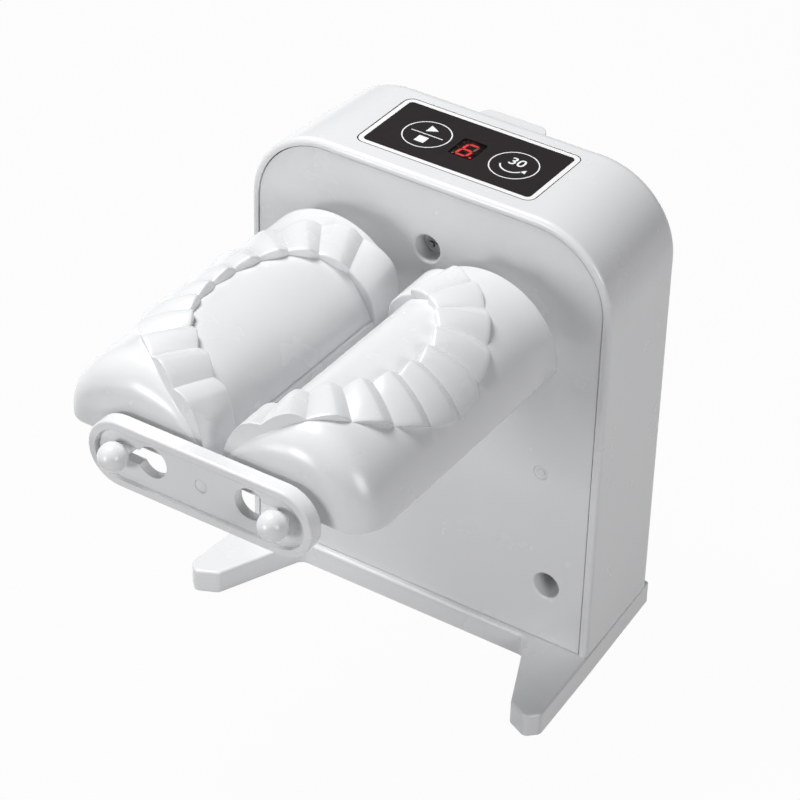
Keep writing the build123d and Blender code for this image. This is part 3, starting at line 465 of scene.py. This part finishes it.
border_outer = (34.75, 17.0, 3.25)
border_inner = (33.0, 15.25, 1.7)
circle_outer = 8.75
circle_inner = 8.3
border = between(rounded_outline(*border_outer), rounded_outline(*border_inner))
start_key = (-16.4, 24.5)
turns_key = (18.2, 24.4)
signs = list(border)
for x, y in (start_key, turns_key):
    signs += between(disc(x, y, circle_outer, 72), disc(x, y, circle_inner, 72))
x, y = start_key
signs.append([(x - 6.2, y - 0.2), (x + 6.2, y - 0.2), (x + 6.2, y + 0.25), (x - 6.2, y + 0.25)])
signs.append([(x - 1.6, y + 1.6), (x + 2.4, y + 3.8), (x - 1.6, y + 6.0)])
signs.append([(x - 1.9, y - 5.5), (x + 1.9, y - 5.5), (x + 1.9, y - 1.7), (x - 1.9, y - 1.7)])
x, y = turns_key
arc = [math.radians(200 + 130 * step / 24) for step in range(25)]
outer_arc = [(x + 5.2 * math.cos(t), y + 0.4 + 5.2 * math.sin(t)) for t in arc]
inner_arc = [(x + 4.6 * math.cos(t), y + 0.4 + 4.6 * math.sin(t)) for t in arc]
signs += between(outer_arc, inner_arc)[:-1]
signs.append([(x + 3.3, y - 2.6), (x + 5.8, y - 2.7), (x + 5.3, y - 0.4)])
flat_shape("label_signs", signs, print_height, white_ink)

number_curve = bpy.data.curves.new("turns_number", "FONT")
number_curve.body = "30"
number_curve.size = 0.0062
number_curve.align_x = "CENTER"
number_curve.offset = 0.00008
number_object = bpy.data.objects.new("turns_number", number_curve)
bpy.context.scene.collection.objects.link(number_object)
bpy.context.view_layer.update()
number_mesh = bpy.data.meshes.new_from_object(number_object)
bpy.data.objects.remove(number_object)
number_place = (turns_key[0] / 1000, (turns_key[1] + 0.3) / 1000, print_height / 1000)
number_mesh.transform(Matrix.Translation(number_place))
number_mesh.materials.clear()
number_mesh.materials.append(white_ink)
number = bpy.data.objects.new("turns_number", number_mesh)
bpy.context.scene.collection.objects.link(number)
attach(number, "housing")

# Screws
# Pan head screws of zinc plated steel with a cross slot. The plating is a little cloudy, and the
# turned heads catch the light unevenly.
zinc = grained("zinc_steel_cloudy", "#C2C4C8", "#8E9095", 0.36, 1.1, 0.01, metal=1.0)
dress(zinc, "base_screws", "panel_screws", "frame_screws", "motor_screws", "cradle_screws")
dress(zinc, "board_screws")

# Rollers
# Half-round hollow ABS mouldings, each with half of the dumpling mould on its round side: a smooth
# shallow dish in a band of pleats, with a waved inner edge and pointed tips outside. They slide
# onto the shafts last, with a cover at the rear and a ball-headed pin at the front.
axis_x = 30.75
axis_z = 133.5
roller_radius = 28.0
roller_rear = -10.0
roller_front = -122.0
nose = 12.5
fold_nose = 2.6
outer_nose = {-1: 8.0, 1: 12.5}
nose_turn = (8, 82)
outer_turn = (95, 160)
flat_drop = 2.5
edge_round = 2.2
dish_y = -66.0
dish_inside = 39.6
dish_outside = 55.7
dish_recess = 1.2
pleat_count = 12
pleat_lean = 0.63
valley_rise = 0.5
inner_wave = 2.0
scallop = 1.2
crest_rise = 2.55
pleat_slope = 1.35
crest_softness = 0.7
band_foot = 1.4
rim_inset = 0.6
pocket_top = 0.2
fold_angle = 4.0
lip_angle = 8.0


def smooth_step(value, start, end):
    """0 before start, 1 after end and an even rise between them."""
    share = min(max((value - start) / (end - start), 0), 1)
    return share * share * (3 - 2 * share)


def nose_radius(side, angle, y):
    """Radius of the round side, which falls away at the front edge, and there least at the fold."""
    turn = math.degrees(angle)
    edge = fold_nose + (nose - fold_nose) * smooth_step(turn, *nose_turn)
    edge += (outer_nose[side] - nose) * smooth_step(turn, *outer_turn)
    into = (roller_front + edge) - y
    if into <= 0:
        return roller_radius
    return roller_radius - edge + math.sqrt(max(edge**2 - into**2, 0))


def dish_place(angle, y):
    """How far a point of the round side is from the middle of the dish, seen from above."""
    return math.hypot(axis_x - roller_radius * math.cos(angle), y - dish_y)


def side_radius(side, angle, y):
    """Radius of the round side without its pleats."""
    inside = 1 - smooth_step(dish_place(angle, y), dish_outside - 2.2, dish_outside - 0.4)
    past_lip = smooth_step(math.degrees(angle), lip_angle - 0.6, lip_angle + 0.6)
    return nose_radius(side, angle, y) - dish_recess * inside * past_lip


def section(y, radius_at, flat, corner, pocket):
    """The closed outline of the roller across its axis: round side, corners, rim and pocket."""
    centre_z = flat + corner
    centre_in = math.sqrt((radius_at(0) - corner) ** 2 - centre_z**2)
    centre_out = math.sqrt((radius_at(math.pi) - corner) ** 2 - centre_z**2)
    turn_in = math.atan2(centre_z, centre_in)
    turn_out = math.atan2(centre_z, centre_out)
    points = []
    start = math.radians(12)
    angles = [turn_in + (math.radians(6) - turn_in) * step / 5 for step in range(5)]
    angles += [math.radians(6 + 0.25 * step) for step in range(24)]
    angles += [math.radians(12 + 1.5 * step) for step in range(104)]
    angles += [math.pi - start + (start - turn_out) * step / 8 for step in range(9)]
    for angle in angles:
        reach = radius_at(angle)
        points.append((reach * math.cos(angle), reach * math.sin(angle)))
    for hand, centre_u, turn in ((-1, centre_out, turn_out), (1, centre_in, turn_in)):
        arc = []
        for step in range(1, 7):
            bend = turn + (-math.pi / 2 - turn) * step / 6
            arc.append((centre_u + corner * math.cos(bend), centre_z + corner * math.sin(bend)))
        rim = centre_u - rim_inset
        arc += [(rim, flat), (rim, pocket_top if pocket else flat)]
        if hand > 0:
            arc.reverse()
        points += [(hand * u, z) for u, z in arc]
    return [(u, y, z) for u, z in points]


def pleat_height(phase):
    """0 in a valley and about 1 on a crest: a broad flank, a round crest and a steep flank."""
    share = phase % 1
    slope = pleat_slope * min(share / pleat_lean, (1 - share) / (1 - pleat_lean))
    mix = min(max(0.5 + 0.5 * (1 - slope) / crest_softness, 0), 1)
    return slope * mix + (1 - mix) - crest_softness * mix * (1 - mix)


def pleat_point(side, plan, phase, rise):
    """A point of the pleats: plan radius, place along the band, and rise (None is the foot)."""
    fold = axis_x - roller_radius * math.cos(math.radians(fold_angle))
    swing = (2 * phase / pleat_count - 1) * math.acos(fold / plan)
    reach = plan * math.cos(swing)
    angle = math.acos((axis_x - reach) / roller_radius)
    y = dish_y + plan * math.sin(swing)
    if rise is None:
        radius = nose_radius(side, angle, max(y, roller_front)) - band_foot
    else:
        radius = roller_radius + rise
    return (radius * math.cos(angle), y, radius * math.sin(angle))


def stack(form, rings, closed):
    """Joins rings of points into a skin, capped at both ends. closed joins each ring's ends too."""
    rows = [[form.verts.new(point) for point in ring] for ring in rings]
    count = len(rows[0])
    for first, second in zip(rows, rows[1:]):
        for place in range(count if closed else count - 1):
            after = (place + 1) % count
            form.faces.new((first[place], first[after], second[after], second[place]))
    form.faces.new(rows[0])
    form.faces.new(list(reversed(rows[-1])))


def roller_form(side):
    """A roller around its own axis: u inward to the other roller, y, and z upward."""
    form = bmesh.new()
    rings = []
    wall = 2.5
    rear_edge = 0.5
    for step in range(4):
        bend = math.pi / 2 * step / 3
        y = roller_rear - rear_edge * (1 - math.cos(bend))
        radius = roller_radius - rear_edge * (1 - math.sin(bend))
        rings.append(section(y, lambda angle, r=radius: r, -flat_drop, edge_round, False))
    rear_cap = [(0.5 * u, y, 0.5 * z) for u, y, z in rings[0]]
    rings.insert(0, rear_cap)
    depths = [roller_rear - wall + 0.01, roller_rear - wall]
    depths += [roller_rear - wall - 1 - step for step in range(96)]
    for step in range(1, 31):
        bend = math.pi / 2 * step / 30
        depths.append(roller_front + nose - nose * math.sin(bend))
    pocket_end = roller_front + wall
    for number, y in enumerate(depths):
        into = max(0, (roller_front + edge_round) - y)
        lift = edge_round - math.sqrt(max(edge_round**2 - into**2, 0))
        is_open = 0 < number and y > pocket_end
        rings.append(
            section(
                y,
                lambda angle, y=y: side_radius(side, angle, y),
                -flat_drop + lift,
                edge_round,
                is_open,
            )
        )
    for share in (0.8, 0.45, 0.15):
        rings.append([(share * u, y, share * z + (1 - share) * 4) for u, y, z in rings[-1]])
    stack(form, rings, True)

    shares = (0, 0.02, 0.06, 0.13, 0.21, 0.3, 0.38, 0.45, 0.51, 0.56, 0.6, 0.635, 0.67, 0.71, 0.76)
    shares += (0.82, 0.88, 0.93, 0.97, 0.99)
    phases = [pleat + share for pleat in range(pleat_count) for share in shares] + [pleat_count]
    rounding = 0.7
    loops = []
    for phase in phases:
        height = pleat_height(phase)
        loop = [pleat_point(side, dish_inside - scallop * height, phase, None)]
        top = valley_rise + inner_wave * height
        for step in range(5):
            bend = math.pi / 2 * step / 4
            plan = dish_inside - scallop * height + rounding * (1 - math.cos(bend))
            loop.append(pleat_point(side, plan, phase, top - rounding * (1 - math.sin(bend))))
        for step in range(1, 15):
            share = step / 14
            first = dish_inside - scallop * height + rounding
            plan = first + (dish_outside - 0.2 - first) * share
            low = valley_rise * (1 - share) ** 1.1
            high = valley_rise + inner_wave + (crest_rise - valley_rise - inner_wave) * share
            loop.append(pleat_point(side, plan, phase, low + (high - low) * height))
        loop.append(pleat_point(side, dish_outside, phase, crest_rise * height - 0.12))
        loop.append(pleat_point(side, dish_outside, phase, None))
        loops.append(loop)
    stack(form, loops, True)

    # The bosses in the pocket for the shaft and the end pin: radius, rear, front and top.
    shaft_boss = (8.0, -2.0, -26.0, 1.1)
    pin_boss = (6.0, -109.6, -119.8, 0.5)
    for radius, from_y, to_y, top in (shaft_boss, pin_boss):
        outline = []
        for step in range(64):
            bend = 2 * math.pi * step / 64
            low = radius * math.sin(bend)
            if top < 1:
                low = max(min(low, top), -flat_drop)
            outline.append((radius * math.cos(bend), low))
        rings = [[(share * u, from_y, share * z) for u, z in outline] for share in (0.5, 0.96)]
        rings += [[(u, y, z) for u, z in outline] for y in (from_y - 0.3, to_y)]
        rings.append([(0.5 * u, to_y, 0.5 * z) for u, z in outline])
        stack(form, rings, True)
    bmesh.ops.remove_doubles(form, verts=form.verts, dist=0.0005)
    return form


for side, name in ((-1, "left"), (1, "right")):
    form = roller_form(side)
    for vertex in form.verts:
        u, y, z = vertex.co
        vertex.co = Vector((side * (axis_x - u), y, axis_z + z)) / 1000
    bmesh.ops.recalc_face_normals(form, faces=form.faces)
    for face in form.faces:
        face.smooth = True
    mesh = bpy.data.meshes.new(name + "_mould_roller")
    form.to_mesh(mesh)
    form.free()
    mesh.set_sharp_from_angle(angle=math.radians(33))
    mesh.materials.append(white_abs)
    roller = bpy.data.objects.new(name + "_mould_roller", mesh)
    bpy.context.scene.collection.objects.link(roller)
    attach(roller, name + "_roller")
    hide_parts(name + "_roller_body")
dress(white_abs, "left_roller_cover", "right_roller_cover", "left_end_pin", "right_end_pin")
